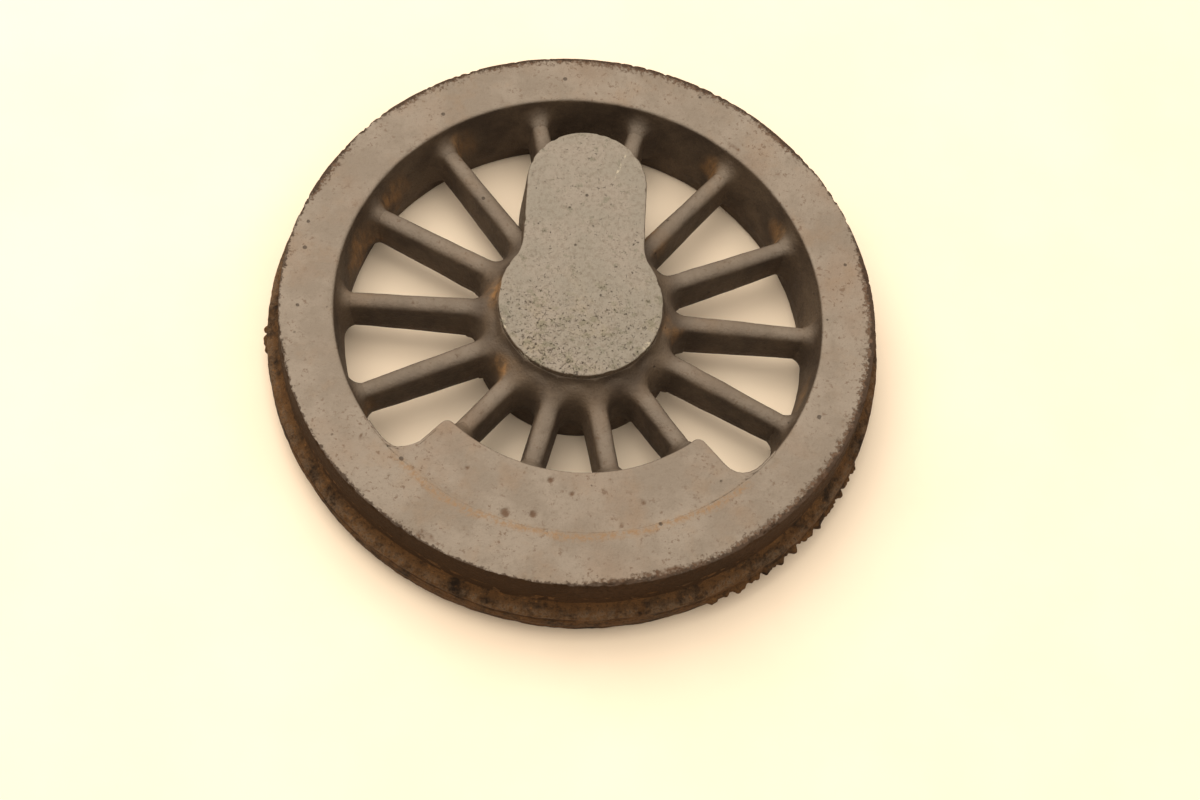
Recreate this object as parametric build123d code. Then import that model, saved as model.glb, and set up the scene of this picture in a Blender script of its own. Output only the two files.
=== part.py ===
from build123d import *
import os
from math import cos, radians, sin, sqrt, tan

# Spoked driving wheel for a model locomotive, a raw iron casting before any machining.
# The origin is on the wheel's axis in the plane of its back. +Z runs from the back
# (flange side) to the front (crank side) and the crank points along +Y.
# The casting is one piece of iron. Its rim, flange, spokes, hub, crank boss, balance
# weight and flash are modelled as the solids that meet face to face inside it.

# ---- driving dimensions (mm) ----
FACE_Z = 20.0            # front face of the rim above the flat back
PARTING_Z = 5.0          # where the two halves of the mould met

TREAD_R = 65.7           # tread beside the flange
TREAD_FRONT_R = 65.3     # the tread leans in to this at the front face
TREAD_EDGE_ROUND = 0.4
BORE_R = 51.6            # narrowest part of the rim's bore, at the parting line
BORE_FRONT_R = 53.5      # the same bore at the front face
BORE_BACK_R = 52.2       # and at the back
BORE_EDGE_ROUND = 0.8

FLANGE_R = 68.6          # crest of the flange, at the parting line
FLANGE_BACK_R = 67.6
FLANGE_BACK_ROUND = 0.5
FLANGE_SHOULDER_R = 68.4     # front corner of the flange's thick outer edge
FLANGE_SHOULDER_Z = 8.3
FLANGE_SHOULDER_ROUND = 1.2
FLANGE_ROOT_Z = 10.4     # where the flange's front slope turns up into the tread
FLANGE_ROOT_ROUND = 2.2

SPOKE_COUNT = 14
SPOKE_PITCH = 360.0 / SPOKE_COUNT
SPOKE_MID_Z = 8.5        # the spokes are widest here and drafted both ways
SPOKE_DRAFT = 4.5        # degrees
SPOKE_HALF_AT_HUB = 2.9
SPOKE_HALF_AT_RIM = 2.6
SPOKE_FRONT_Z_AT_HUB = 16.0
SPOKE_FRONT_Z_AT_RIM = 14.8
SPOKE_BACK_Z_AT_HUB = 4.6
SPOKE_BACK_Z_AT_RIM = 5.2
SPOKE_HUB_BLEND = 2.1    # fillets where a spoke flares into the hub and the rim
SPOKE_RIM_BLEND = 3.0
SPOKE_CURVE_R = 52.6     # the spoke's front curves up the bore's wall here,
SPOKE_CURVE_TOP_Z = 18.0     # as high as this
SPOKE_EDGE_ROUND = 1.4

HUB_R = 22.5             # barrel, at the parting line
HUB_BACK_R = 21.9
HUB_SHOULDER_R = 21.9    # barrel at the front shoulder
HUB_SHOULDER_ROUND = 1.2
HUB_NECK_R = 18.4        # where the shoulder curves up to meet the crank boss
HUB_NECK_ROUND = 2.2
HUB_NECK_Z = 19.0

BOSS_FACE_Z = 21.3       # the flat front of the crank boss, the highest level
BOSS_HUB_R = 18.1        # large end, round the axle
BOSS_PIN_R = 13.5        # small end, round the crank pin's place
CRANK_THROW = 30.5       # from the wheel's axis to the small end's centre
BOSS_NECK_R = 10.0       # hollow between the two ends
BOSS_BACK_Z = 3.0
BOSS_DRAFT = 3.0         # degrees

WEIGHT_INNER_R = 39.7
WEIGHT_HALF_ANGLE = 42.5     # degrees each side of the line opposite the crank
WEIGHT_FACE_Z = 19.6
WEIGHT_BACK_Z = 2.0
WEIGHT_CORNER_R = 1.6
WEIGHT_RIM_BLEND = 5.5

FLASH_HALF_THICKNESS = 0.45
FLASH_ROOT_R = 68.0      # the flash grows out of the flange from here
# Ragged outline of the long flash: degrees round from +X, and radius.
FLASH_TEETH = [
    (-21.0, 68.7), (-24.0, 69.6), (-26.5, 68.9), (-30.0, 69.2), (-33.5, 68.8),
    (-35.5, 69.3), (-39.0, 68.8), (-41.5, 69.4), (-45.0, 69.0), (-49.0, 70.0),
    (-52.0, 69.2), (-56.0, 70.0), (-60.0, 69.3), (-66.0, 68.7),
]
# A single nub of flash on the other side.
NUB_TEETH = [(183.0, 68.6), (184.5, 69.3), (187.5, 69.3), (189.0, 68.6)]

OUTER_REACH_R = 56.0     # webs run this far into the rim before they are trimmed by it
INNER_REACH_R = 19.5     # and this far into the hub
SPREAD_IN_RIM = 0.6      # a web still widens by this much inside the rim
EDGE_MARGIN = 0.5        # slack when the edges to be rounded are picked out


def polar(radius, degrees):
    return (radius * cos(radians(degrees)), radius * sin(radians(degrees)))


def rounded_face(corners):
    """A flat face through corners given as (x, y, rounding), where a rounding of 0 stays sharp."""
    face = make_face(Polyline(*[(x, y) for x, y, rounding in corners], close=True))
    for x, y, rounding in corners:
        if rounding:
            face = fillet(face.vertices().sort_by_distance((x, y))[0], rounding)
    return face


def blend_points(half_width, circle_r, blend_r, inside):
    """Three points of a fillet from the side of a bar along +X to a circle about the origin."""
    reach = circle_r - blend_r if inside else circle_r + blend_r
    centre_y = half_width + blend_r
    centre_x = sqrt(reach ** 2 - centre_y ** 2)
    on_bar = Vector(centre_x, half_width)
    on_circle = Vector(centre_x, centre_y) * (circle_r / reach)
    centre = Vector(centre_x, centre_y)
    halfway = centre + ((on_bar - centre) + (on_circle - centre)).normalized() * blend_r
    return on_bar, halfway, on_circle


# ---- rim and flange: one ring, parted where the tread stands ----
def make_ring():
    """Rim and flange together: a bore drafted both ways, the tread, and the thick flange."""
    section = rounded_face([
        (BORE_FRONT_R, FACE_Z, BORE_EDGE_ROUND),
        (TREAD_FRONT_R, FACE_Z, TREAD_EDGE_ROUND),
        (TREAD_R, FLANGE_ROOT_Z, FLANGE_ROOT_ROUND),
        (FLANGE_SHOULDER_R, FLANGE_SHOULDER_Z, FLANGE_SHOULDER_ROUND),
        (FLANGE_R, PARTING_Z, 0),
        (FLANGE_BACK_R, 0, FLANGE_BACK_ROUND),
        (BORE_BACK_R, 0, 0),
        (BORE_R, PARTING_Z, 0),
    ])
    return revolve(Plane.XZ * section, axis=Axis.Z)


# ---- flash: thin ragged fins where iron ran between the mould halves ----
def make_flash(teeth):
    outline = [polar(FLASH_ROOT_R, teeth[0][0])]
    outline += [polar(radius, degrees) for degrees, radius in teeth]
    outline += [polar(FLASH_ROOT_R, teeth[-1][0])]
    # the inner edge follows the flange round
    outline += [polar(FLASH_ROOT_R, degrees) for degrees, radius in reversed(teeth[1:-1])]
    plan = make_face(Polyline(*outline, close=True))
    return Pos(0, 0, PARTING_Z) * extrude(plan, amount=FLASH_HALF_THICKNESS, both=True)


# ---- hub: the barrel, with a shoulder that curves up to the crank boss ----
def make_hub():
    section = rounded_face([
        (0, 0, 0),
        (HUB_BACK_R, 0, 0),
        (HUB_R, PARTING_Z, 0),
        (HUB_SHOULDER_R, SPOKE_FRONT_Z_AT_HUB, HUB_SHOULDER_ROUND),
        (HUB_NECK_R, SPOKE_FRONT_Z_AT_HUB, HUB_NECK_ROUND),
        (HUB_NECK_R, HUB_NECK_Z, 0),
        (0, HUB_NECK_Z, 0),
    ])
    return revolve(Plane.XZ * section, axis=Axis.Z)


# ---- crank boss: a pear-shaped block with a flat face, left solid with no hole ----
def make_crank_boss():
    # the hollows of the neck are arcs that touch both round ends; the sides between run straight
    neck_x = BOSS_PIN_R + BOSS_NECK_R
    neck_y = sqrt((BOSS_HUB_R + BOSS_NECK_R) ** 2 - neck_x ** 2)
    neck_centre = Vector(neck_x, neck_y)
    on_hub = neck_centre * (BOSS_HUB_R / (BOSS_HUB_R + BOSS_NECK_R))
    on_side = Vector(BOSS_PIN_R, neck_y)
    towards_hollow = (on_hub - neck_centre) + (on_side - neck_centre)
    hollow = neck_centre + towards_hollow.normalized() * BOSS_NECK_R
    right = [on_hub, hollow, on_side]
    left = [Vector(-p.X, p.Y) for p in right]
    pin_right = (BOSS_PIN_R, CRANK_THROW)
    pin_left = (-BOSS_PIN_R, CRANK_THROW)
    with BuildSketch(Plane.XY) as plan:
        with BuildLine():
            ThreePointArc(left[0], (0, -BOSS_HUB_R), right[0])
            ThreePointArc(*right)
            Line(on_side, pin_right)
            ThreePointArc(pin_right, (0, CRANK_THROW + BOSS_PIN_R), pin_left)
            Line(pin_left, left[2])
            ThreePointArc(*reversed(left))
        make_face()
    face = Pos(0, 0, BOSS_FACE_Z) * plan.sketch
    return extrude(face, amount=BOSS_FACE_Z - BOSS_BACK_Z, dir=(0, 0, -1), taper=-BOSS_DRAFT)


# ---- balance weight: a ring sector opposite the crank, filled in between the spokes ----
def make_balance_weight():
    # one end of the sector: its side line, then the hollow where it runs into the rim
    bore_r = (BORE_R + BORE_FRONT_R) / 2
    on_side, hollow, on_rim = blend_points(0, bore_r, WEIGHT_RIM_BLEND, True)
    inner_corner = Vector(WEIGHT_INNER_R, 0)
    outer_corner = on_rim * (OUTER_REACH_R / on_rim.length)

    def at_end(point, side):
        """The point moved to the sector's left (-1) or right (+1) end."""
        mirrored = Vector(point.X, side * point.Y)
        return mirrored.rotate(Axis.Z, -90 + side * WEIGHT_HALF_ANGLE)

    with BuildSketch(Plane.XY) as plan:
        with BuildLine():
            ThreePointArc(at_end(inner_corner, -1), (0, -WEIGHT_INNER_R), at_end(inner_corner, 1))
            ThreePointArc(at_end(outer_corner, -1), (0, -OUTER_REACH_R), at_end(outer_corner, 1))
            for side in (-1, 1):
                Line(at_end(inner_corner, side), at_end(on_side, side))
                ThreePointArc(at_end(on_side, side), at_end(hollow, side), at_end(on_rim, side))
                Line(at_end(on_rim, side), at_end(outer_corner, side))
        make_face()
        fillet(plan.vertices().sort_by(Axis.Y)[-2:], WEIGHT_CORNER_R)
    block = extrude(plan.sketch, amount=WEIGHT_FACE_Z - WEIGHT_BACK_Z, dir=(0, 0, 1))
    return Pos(0, 0, WEIGHT_BACK_Z) * block


# ---- spokes: rounded bars that taper outwards and flare into the hub and the rim ----
def spoke_plan(z, lean_in):
    """The outline of one spoke along +X at height z, drawn in by lean_in on both sides."""
    hub_blend = blend_points(SPOKE_HALF_AT_HUB - lean_in, HUB_R, SPOKE_HUB_BLEND, False)
    rim_blend = blend_points(SPOKE_HALF_AT_RIM - lean_in, BORE_R, SPOKE_RIM_BLEND, True)
    inner_corner = Vector(INNER_REACH_R, SPOKE_HALF_AT_HUB - lean_in)
    outer_corner = Vector(OUTER_REACH_R, rim_blend[2].Y + SPREAD_IN_RIM)
    with BuildSketch(Plane.XY) as plan:
        with BuildLine():
            for side in (1, -1):
                inner, outer = [Vector(p.X, side * p.Y) for p in (inner_corner, outer_corner)]
                at_hub = [Vector(p.X, side * p.Y) for p in reversed(hub_blend)]
                at_rim = [Vector(p.X, side * p.Y) for p in rim_blend]
                Line(inner, at_hub[0])
                ThreePointArc(*at_hub)
                Line(at_hub[2], at_rim[0])
                ThreePointArc(*at_rim)
                Line(at_rim[2], outer)
            Line((inner_corner.X, -inner_corner.Y), inner_corner)
            Line((outer_corner.X, -outer_corner.Y), outer_corner)
        make_face()
    return Pos(0, 0, z) * plan.sketch


def make_spoke():
    """One spoke along +X, still running on into the hub and the rim."""
    lean = tan(radians(SPOKE_DRAFT))
    widest = spoke_plan(SPOKE_MID_Z, 0)
    front_half = loft([widest, spoke_plan(FACE_Z, (FACE_Z - SPOKE_MID_Z) * lean)], ruled=True)
    back_half = loft([spoke_plan(0, SPOKE_MID_Z * lean), widest], ruled=True)
    bar = front_half + back_half

    # seen from the side the front falls towards the rim and then curves up it; the back rises
    side_view = rounded_face([
        (INNER_REACH_R, SPOKE_BACK_Z_AT_HUB, 0),
        (OUTER_REACH_R, SPOKE_BACK_Z_AT_RIM, 0),
        (OUTER_REACH_R, SPOKE_CURVE_TOP_Z, 0),
        (SPOKE_CURVE_R, SPOKE_CURVE_TOP_Z, 0),
        (SPOKE_CURVE_R, SPOKE_FRONT_Z_AT_RIM, SPOKE_RIM_BLEND),
        (INNER_REACH_R, SPOKE_FRONT_Z_AT_HUB, 0),
    ])
    spoke = bar & extrude(Plane.XZ * side_view, amount=OUTER_REACH_R / 4, both=True)

    # the long edges of the front and the back are rounded, flares included
    def is_long_edge(edge):
        middle = edge.center()
        between_ends = INNER_REACH_R + EDGE_MARGIN < middle.X < BORE_R
        at_front = middle.Z > SPOKE_FRONT_Z_AT_RIM - EDGE_MARGIN
        at_back = middle.Z < SPOKE_BACK_Z_AT_RIM + EDGE_MARGIN
        off_centre = abs(middle.Y) > EDGE_MARGIN
        return between_ends and off_centre and edge.length > EDGE_MARGIN and (at_front or at_back)

    return fillet(spoke.edges().filter_by(is_long_edge), SPOKE_EDGE_ROUND)


# ---- the casting: each region is trimmed by the ones it grows out of ----
ring = make_ring()
inside_tread = Cylinder(TREAD_R, FACE_Z, align=(Align.CENTER, Align.CENTER, Align.MIN))
rim = ring & inside_tread
flange = ring - inside_tread
hub = make_hub()
crank_boss = make_crank_boss() - hub
balance_weight = make_balance_weight() - rim

casting = {
    "rim": rim,
    "flange": flange,
    "hub": hub,
    "crank_boss": crank_boss,
    "balance_weight": balance_weight,
    "flash_fin": make_flash(FLASH_TEETH) - flange,
    "flash_nub": make_flash(NUB_TEETH) - flange,
}

# spoke_01 is the first one round from the crank, counter-clockwise seen from the front
spoke = make_spoke() - hub - rim
for number in range(1, SPOKE_COUNT + 1):
    turned = Rot(0, 0, 90 + (number - 0.5) * SPOKE_PITCH) * spoke
    casting[f"spoke_{number:02d}"] = turned - crank_boss - balance_weight

os.makedirs("parts", exist_ok=True)
for name, region in casting.items():
    solids = region.solids()
    if len(solids) != 1:
        raise ValueError(f"{name} came out as {len(solids)} solids")
    export_step(solids[0], f"parts/{name}.step")
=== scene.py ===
import math

import bmesh
import bpy
import numpy as np
from mathutils import Matrix, Vector


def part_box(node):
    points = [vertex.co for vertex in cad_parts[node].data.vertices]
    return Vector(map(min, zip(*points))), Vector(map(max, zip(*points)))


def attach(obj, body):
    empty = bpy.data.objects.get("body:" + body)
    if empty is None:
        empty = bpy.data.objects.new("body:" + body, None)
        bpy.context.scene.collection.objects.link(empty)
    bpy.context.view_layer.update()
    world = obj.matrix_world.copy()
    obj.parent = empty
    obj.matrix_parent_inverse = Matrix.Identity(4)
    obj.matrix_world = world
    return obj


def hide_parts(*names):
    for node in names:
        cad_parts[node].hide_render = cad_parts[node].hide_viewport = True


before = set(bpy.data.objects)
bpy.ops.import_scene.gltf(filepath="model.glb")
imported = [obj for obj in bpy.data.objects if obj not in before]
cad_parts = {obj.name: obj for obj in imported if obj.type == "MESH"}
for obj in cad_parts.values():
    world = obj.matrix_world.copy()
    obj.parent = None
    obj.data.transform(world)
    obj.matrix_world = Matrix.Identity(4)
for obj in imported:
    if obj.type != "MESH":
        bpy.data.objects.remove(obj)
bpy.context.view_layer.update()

# ---- Rim ---------------------------------------------------------------------------------
# The broad ring of a locomotive driving wheel, moulded in sand and poured in grey iron. Its
# bore is drafted, its front edge was struck with the sand, and all of it was dipped in a thin
# warm grey primer that has since let rust through along the outer edge.
# Lengths in the shapes are millimetres; the mesh is made in metres.
MM = 0.001
rim_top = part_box("rim")[1]
FACE_Z = rim_top.z / MM
TREAD_R = rim_top.x / MM
TREAD_FRONT_R = TREAD_R - 0.4
BORE_R, BORE_Z = 51.6, 5.0
BORE_FRONT_R = 53.5
BORE_BACK_R = 52.2
BORE_ROUND = 0.9
FLANGE_TOP_Z = 11.4
RIM_COLUMNS = 900
SPOKE_COUNT = 14
SPOKE_MID_Z = 8.5
HALF_AT_HUB, HALF_AT_RIM = 2.95, 2.6
FRONT_AT_HUB, FRONT_AT_RIM = 16.0, 14.8
BACK_AT_HUB, BACK_AT_RIM = 4.7, 5.2
SPOKE_LEAN = math.tan(math.radians(7.5))
SPOKE_ROUND = 1.75
RIM_FILLET = 3.4
FILLET_DRAWN = 0.30      # how much further than at the sides a fillet reaches towards the front
FILLET_BURY = 0.6        # how fast the wall still swells inside a spoke's outline
HIDDEN_INSET = 0.6       # the rim's wall leans in this much by its back, inside the flange
SAME_POINT = 1e-5
WEIGHT_SPAN = 44.0       # degrees each side of straight down where the weight fills the bore

rng = np.random.default_rng(14)
LATTICE = 32
lattice = rng.uniform(-1, 1, (LATTICE,) * 3)


def lumps(points, size, shift=0.0):
    """Smooth random lumps in space, from -1 to 1: the values of a random lattice with cells of
    the given size, blended between the eight corners of each cell by 3t^2 - 2t^3."""
    spot = points / size + shift
    cell = np.floor(spot).astype(int)
    t = spot - cell
    t = t * t * (3 - 2 * t)
    total = np.zeros(points.shape[:-1])
    for corner in np.ndindex(2, 2, 2):
        weight = np.prod(np.where(corner, t, 1 - t), axis=-1)
        i, j, k = np.moveaxis((cell + corner) % LATTICE, -1, 0)
        total += weight * lattice[i, j, k]
    return total


def rise(value, low, high):
    """0 below low, 1 above high, and 3t^2 - 2t^3 between them."""
    t = np.clip((value - low) / (high - low), 0, 1)
    return t * t * (3 - 2 * t)


def fillet_rise(past, radius):
    """How far a fillet of the given radius has spread when past mm along it, up to 80 degrees."""
    swing = np.clip(past / radius, 0, math.sin(math.radians(80)))
    return radius * (1 - np.sqrt(1 - swing ** 2))


def sand_skin(points):
    """How far the sand mould left the skin from its true surface: broad waves and two sizes of lump."""
    waves = 0.10 * lumps(points, 11.0)
    return waves + 0.05 * lumps(points, 3.7, 5.3) + 0.025 * lumps(points, 1.4, 11.7)


def unit(vectors):
    """The vectors at length 1."""
    return vectors / np.maximum(np.linalg.norm(vectors, axis=-1, keepdims=True), 1e-12)


def rounded_outline(corners):
    """A closed line of straight runs joined by arcs that touch them. A corner is (x, y, rounding,
    spacing of the points on the run after it); its arc starts rounding * tan(turn / 2) before it."""
    corners = np.asarray(corners, float)
    spot, rounding, spacing = corners[:, :2], corners[:, 2], corners[:, 3]
    arrive = unit(spot - np.roll(spot, 1, axis=0))
    leave = np.roll(arrive, -1, axis=0)
    turn = np.arctan2(arrive[:, 0] * leave[:, 1] - arrive[:, 1] * leave[:, 0], (arrive * leave).sum(1))
    reach = rounding * np.tan(np.abs(turn) / 2)
    begin = spot - arrive * reach[:, None]
    end = spot + leave * reach[:, None]
    left = np.stack([-arrive[:, 1], arrive[:, 0]], axis=1)
    centre = begin + left * (rounding * np.sign(turn))[:, None]
    runs = []
    for i, n in enumerate(np.roll(np.arange(len(corners)), -1)):
        steps = max(2, math.ceil(abs(turn[i]) / 0.3)) if rounding[i] else 0
        swing = turn[i] * np.linspace(0, 1, steps + 1)[:, None]
        arm = begin[i] - centre[i]
        across = np.array([-arm[1], arm[0]])
        runs.append(centre[i] + arm * np.cos(swing) + across * np.sin(swing) if steps else spot[i:i + 1])
        count = max(1, math.ceil(np.linalg.norm(begin[n] - end[i]) / spacing[i]))
        runs.append(end[i] + (begin[n] - end[i]) * (np.arange(1, count) / count)[:, None])
    return np.concatenate(runs)


def carried_round(profile, columns):
    """A profile of (radius, height) carried round the wheel's axis. It may also differ from
    column to column, as an array of rows, columns and (radius, height)."""
    turn = 2 * math.pi * np.arange(columns) / columns
    profile = profile if profile.ndim == 3 else np.repeat(profile[:, None], columns, axis=1)
    radius, height = profile[..., 0], profile[..., 1]
    return np.stack([radius * np.cos(turn), radius * np.sin(turn), height], axis=-1)


# Where water has lain and the rust shows orange: x, y, height and size of each place.
RUSTY_PLACES = np.array([
    (-30.0, 43.5, 12, 5.0), (-43.8, 28.0, 11, 6.5), (-50.0, 14.5, 10, 7.0), (29.8, 42.6, 12, 4.0),
    (44.9, 26.6, 12, 4.0), (19.6, -2.0, 15, 4.0), (-15.5, -14.5, 14, 4.5), (-18.2, 2.0, 18, 4.5),
    (15.0, 21.0, 14, 4.5), (-46.5, -24.0, 10, 4.0), (51.5, -14.0, 12, 4.0), (-14.0, 20.0, 12, 3.0),
])


def rustiness(points):
    """1 in the middle of each rusty place, fading out with distance in ragged patches."""
    away = np.linalg.norm(points[:, None] - RUSTY_PLACES[:, :3], axis=2) / RUSTY_PLACES[:, 3]
    return rise(1.25 - away.min(axis=1) + 0.30 * lumps(points, 2.2, 7.7), 0.0, 1.3)


def grid_faces(rows, columns, rows_close, columns_close):
    """The four-sided faces of a grid, with its points numbered row by row. Rows or columns that
    close run back to the first, and open ends get a cap."""
    index = np.arange(rows * columns).reshape(rows, columns)
    wide = np.hstack([index, index[:, :1]]) if columns_close else index
    tall = np.vstack([wide, wide[:1]]) if rows_close else wide
    quads = np.stack([tall[:-1, :-1], tall[1:, :-1], tall[1:, 1:], tall[:-1, 1:]], axis=-1)
    faces = quads.reshape(-1, 4).tolist()
    if not rows_close:
        faces += [index[0].tolist(), index[-1, ::-1].tolist()]
    if not columns_close:
        faces += [index[::-1, 0].tolist(), index[:, -1].tolist()]
    return faces


def outward_mesh(name, points, faces):
    """A mesh of these points with its doubled points merged and its faces turned outwards."""
    mesh = bpy.data.meshes.new(name)
    mesh.from_pydata(points.tolist(), [], faces)
    shell = bmesh.new()
    shell.from_mesh(mesh)
    bmesh.ops.remove_doubles(shell, verts=shell.verts, dist=SAME_POINT)
    if shell.calc_volume(signed=True) < 0:
        bmesh.ops.reverse_faces(shell, faces=shell.faces)
    shell.to_mesh(mesh)
    shell.free()
    return mesh


def make_piece(name, points, material, nodes, skin=sand_skin, rows_close=True, columns_close=True):
    """A piece of the casting from a grid of points (rows, columns, xyz). Every point moves along
    its normal by skin(points), which may also give a mark of wear there, or of painted highlight
    on the crank boss, and none goes below z = 0."""
    faces = grid_faces(*points.shape[:2], rows_close, columns_close)
    mesh = outward_mesh(name, points.reshape(-1, 3), faces)
    spots = np.empty(len(mesh.vertices) * 3, np.float32)
    mesh.vertices.foreach_get("co", spots)
    spots = spots.reshape(-1, 3).astype(float)
    normal = np.empty(len(mesh.vertices) * 3, np.float32)
    mesh.vertex_normals.foreach_get("vector", normal)
    moved = skin(spots)
    move, worn_and_highlight = moved if isinstance(moved, tuple) else (moved, np.zeros(len(spots)))
    spots += normal.reshape(-1, 3) * move[:, None]
    spots[:, 2] = np.maximum(spots[:, 2], 0)
    mesh.vertices.foreach_set("co", (spots * MM).ravel().astype(np.float32))
    for label, amount in (("worn_and_highlight", worn_and_highlight), ("rusty", rustiness(spots))):
        mesh.attributes.new(label, "FLOAT", "POINT").data.foreach_set("value", amount.astype(np.float32))
    mesh.polygons.foreach_set("use_smooth", np.ones(len(mesh.polygons), bool))
    mesh.update()
    piece = bpy.data.objects.new(name, mesh)
    bpy.context.scene.collection.objects.link(piece)
    mesh.materials.append(material)
    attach(piece, "root")
    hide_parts(*nodes)
    return piece


def place(kind, tree, feeds=None, **settings):
    """A new shader node. feeds sets its inputs, each to a value or from another node's output."""
    node = tree.nodes.new("ShaderNode" + kind)
    for name, value in settings.items():
        setattr(node, name, value)
    for key, value in (feeds or {}).items():
        if isinstance(value, bpy.types.NodeSocket):
            tree.links.new(value, node.inputs[key])
        else:
            node.inputs[key].default_value = value
    return node


def sums(tree, operation, a, b=0.0, c=0.0):
    """One step of arithmetic on shader values."""
    return place("Math", tree, {0: a, 1: b, 2: c}, operation=operation).outputs[0]


def both(tree, one, other):
    """The product of two masks, or of a mask and a number."""
    return sums(tree, "MULTIPLY", one, other)


def mask_of(tree, value, low, high):
    """0 where value is below low and 1 where it is above high, smooth between them."""
    step = place("MapRange", tree, {0: value, 1: low, 2: high}, interpolation_type="SMOOTHSTEP")
    return step.outputs[0]


def blend_of(tree, mask, below, above):
    """The colour below, covered with the colour above where the mask is 1."""
    return place("Mix", tree, {0: mask, 6: below, 7: above}, data_type="RGBA").outputs[2]


def cover(tree, below, above, mask, amount):
    """The colour below, covered with the colour above by at most the amount where the mask is 1."""
    return blend_of(tree, both(tree, mask, amount), below, above)


def noise_of(tree, where, size, detail=2.0, rough=0.5, warp=0.0):
    """Random patches of about the given size in metres, from 0 to 1."""
    feeds = {"Vector": where, "Scale": 1.0 / size, "Detail": detail, "Roughness": rough, "Distortion": warp}
    return place("TexNoise", tree, feeds).outputs[0]


def new_group(name, inputs, outputs):
    """An empty node group. inputs and outputs are (name, kind, starting value) each."""
    group = bpy.data.node_groups.new(name, "ShaderNodeTree")
    for way, sockets in (("INPUT", inputs), ("OUTPUT", outputs)):
        for label, kind, value in sockets:
            socket = group.interface.new_socket(label, in_out=way, socket_type="NodeSocket" + kind)
            if value is not None:
                socket.default_value = value
    begin = group.nodes.new("NodeGroupInput")
    end = group.nodes.new("NodeGroupOutput")
    return group, begin.outputs, end.inputs


def wheel_place_group():
    """Where a point lies on the wheel: the point itself, its distance from the axis, its height,
    and how far the surface faces the front."""
    outputs = [("Point", "Vector", None)]
    outputs += [(label, "Float", 0.0) for label in ("Radius", "Height", "Upward")]
    group, _, made = new_group("wheel_place", [], outputs)
    point = place("TexCoord", group).outputs["Object"]
    split = place("SeparateXYZ", group, {0: point}).outputs
    flat = place("CombineXYZ", group, {0: split[0], 1: split[1]}).outputs[0]
    radius = place("VectorMath", group, {0: flat}, operation="LENGTH").outputs["Value"]
    normal = place("NewGeometry", group).outputs["Normal"]
    group.links.new(point, made["Point"])
    group.links.new(radius, made["Radius"])
    group.links.new(split[2], made["Height"])
    group.links.new(place("SeparateXYZ", group, {0: normal}).outputs[2], made["Upward"])
    return group


def sand_grain_group():
    """Rough cast grain: the texture that the sand left, with scattered pin holes. Height is for a
    Bump node, and Pits is 1 inside a hole."""
    group, given, made = new_group(
        "sand_grain",
        [("Point", "Vector", None), ("Pit size", "Float", 0.0011), ("Pit cover", "Float", 0.2)],
        [("Height", "Float", 0.0), ("Pits", "Float", 0.0)],
    )
    fine = noise_of(group, given["Point"], 0.0005, 3.0, 0.6)
    broad = noise_of(group, given["Point"], 0.0022, 2.0, 0.5)
    cells = place("TexVoronoi", group, {"Vector": given["Point"], "Randomness": 1.0}, feature="F1")
    group.links.new(sums(group, "DIVIDE", 1.0, given["Pit size"]), cells.inputs["Scale"])
    chosen = place("SeparateColor", group, {0: cells.outputs["Color"]}).outputs
    wanted = sums(group, "LESS_THAN", chosen[0], given["Pit cover"])
    near = mask_of(group, sums(group, "MULTIPLY_ADD", chosen[1], -0.22, 0.34), 0.0, 1.0)
    hole = mask_of(group, sums(group, "SUBTRACT", near, cells.outputs["Distance"]), -0.03, 0.09)
    pits = both(group, hole, wanted)
    grain = sums(group, "MULTIPLY_ADD", broad, 1.2, fine)
    group.links.new(sums(group, "SUBTRACT", grain, both(group, pits, 1.6)), made["Height"])
    group.links.new(pits, made["Pits"])
    return group


def rust_bloom_group():
    """Rust that has come through the paint in ragged patches. Mask is 1 where it shows."""
    group, given, made = new_group(
        "rust_bloom",
        [("Point", "Vector", None), ("Spread", "Float", 0.3), ("Patch size", "Float", 0.006)],
        [("Mask", "Float", 0.0)],
    )
    patch = place("TexNoise", group, {"Vector": given["Point"], "Detail": 5.0, "Roughness": 0.72})
    group.links.new(sums(group, "DIVIDE", 1.0, given["Patch size"]), patch.inputs["Scale"])
    over = sums(group, "ADD", patch.outputs[0], given["Spread"])
    group.links.new(mask_of(group, over, 0.86, 1.02), made["Mask"])
    return group


WHEEL_PLACE = wheel_place_group()
SAND_GRAIN = sand_grain_group()
RUST_BLOOM = rust_bloom_group()

PRIMER = (0.236, 0.187, 0.142, 1)
PRIMER_DULL = (0.146, 0.110, 0.078, 1)
PRIMER_WARM = (0.206, 0.140, 0.094, 1)
# the two wall colours are brown primer over rust, made darker still as painted shade on the walls
WALL_BROWN_SHADED = (0.094, 0.061, 0.036, 1)
WALL_DARK_SHADED = (0.048, 0.030, 0.018, 1)
RUST_ORANGE = (0.330, 0.165, 0.058, 1)
RUST_BROWN = (0.088, 0.042, 0.019, 1)
PIT_BLACK = (0.026, 0.015, 0.009, 1)
SEAM_ORANGE = (0.230, 0.135, 0.068, 1)
TREAD_BLACK = (0.010, 0.005, 0.002, 1)
TREAD_BROWN = (0.044, 0.022, 0.009, 1)
GRAIN_RUST = (0.150, 0.068, 0.022, 1)
EDGE_BROWN = (0.040, 0.021, 0.010, 1)
# Where one finish gives way to another, in metres: a mask goes from 0 to 1 between the two values.
THIN_BELOW = (0.0186, 0.0168)        # height
# the painted shade at the neck under the crank boss fades out between these two radii
NECK_SHADE_WITHIN = (0.0262, 0.0212)       # radius, as are the rest
TREAD_BEYOND = (0.0640, 0.0645)
SPECKS_BEYOND = (0.0600, 0.0656)
LINE_BEYOND = (0.06625, 0.06672)
SEAM_AT, SEAM_HALF = 0.0558, 0.0016


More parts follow.
